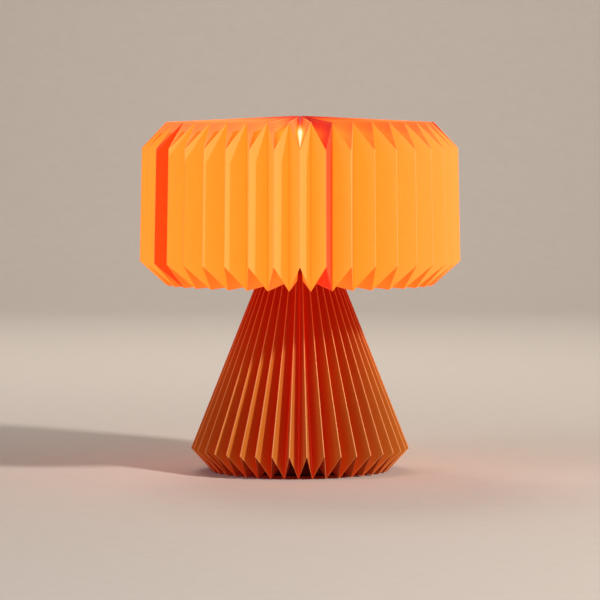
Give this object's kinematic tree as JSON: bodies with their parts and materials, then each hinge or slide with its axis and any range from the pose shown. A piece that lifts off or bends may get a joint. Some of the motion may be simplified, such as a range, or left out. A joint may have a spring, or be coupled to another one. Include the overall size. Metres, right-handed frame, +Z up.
{
  "type": "table lamp",
  "caption": "Table lamp with a drum shade and a conical base, both folded from pleated orange paper, over a weighted foot, stem and small-screw bulb.",
  "frame": {"origin": "on the table under the middle of the base", "axes": "+Z up along the stem; -Y is the front seen in the picture, +X is its right"},
  "size_m": [0.3208, 0.3208, 0.3551],
  "materials": {
    "paper": "matte dyed folding paper, about 200 g per square metre",
    "card": "matte grey board",
    "hoop": "flat steel hoop",
    "felt": "black wool felt",
    "casting": "black powder-coated casting",
    "rubber": "matte black rubber",
    "zinc_steel": "zinc-plated steel",
    "holder_plastic": "white moulded thermoset",
    "ceramic": "unglazed white ceramic",
    "brass": "plain brass",
    "nickel": "nickel-plated brass",
    "insulator": "black vitrite glass",
    "bulb_glass": "clear glass",
    "filament": "phosphor-coated filaments",
    "support": "nickel wire"
  },
  "bodies": {
    "stand": {"base_sheet_1": "paper", "base_sheet_2": "paper", "base_sheet_3": "paper", "base_sheet_4": "paper", "base_sheet_5": "paper", "foot_felt": "felt", "foot_weight": "casting", "cable_bush": "rubber", "stem_tube": "zinc_steel", "foot_washer": "zinc_steel", "stem_nuts": "zinc_steel", "neck_cup": "zinc_steel", "holder_cap": "holder_plastic", "holder_skirt": "holder_plastic", "holder_core": "ceramic", "holder_thread_sleeve": "brass", "holder_contact": "brass"},
    "shade": {"shade_sheet_1": "paper", "shade_sheet_2": "paper", "shade_sheet_3": "paper", "shade_sheet_4": "paper", "shade_sheet_5": "paper", "shade_hub_disc": "card", "shade_hem_ring": "hoop"},
    "bulb_tip": {"bulb_contact": "brass"},
    "bulb": {"bulb_insulator": "insulator", "bulb_cap": "nickel", "bulb_glass": "bulb_glass", "bulb_post": "bulb_glass", "bulb_filaments": "filament", "bulb_support": "support"}
  },
  "joints": [
    {"name": "shade_lift", "type": "slide", "parent": "stand", "child": "shade", "axis": [0, 0, 1], "range_m": [0, 0.2]},
    {"name": "bulb_rise", "type": "slide", "parent": "stand", "child": "bulb_tip", "axis": [0, 0, 1], "range_m": [0, 0.016]},
    {"name": "bulb_screw", "type": "hinge", "parent": "bulb_tip", "child": "bulb", "pos_m": [0, 0, 0.23], "axis": [0, 0, 1], "range_deg": [0, 2040]}
  ],
  "couplings": [
    {"joint": "bulb_rise", "follows": "bulb_screw", "m_per_rad": 0.00044913}
  ]
}
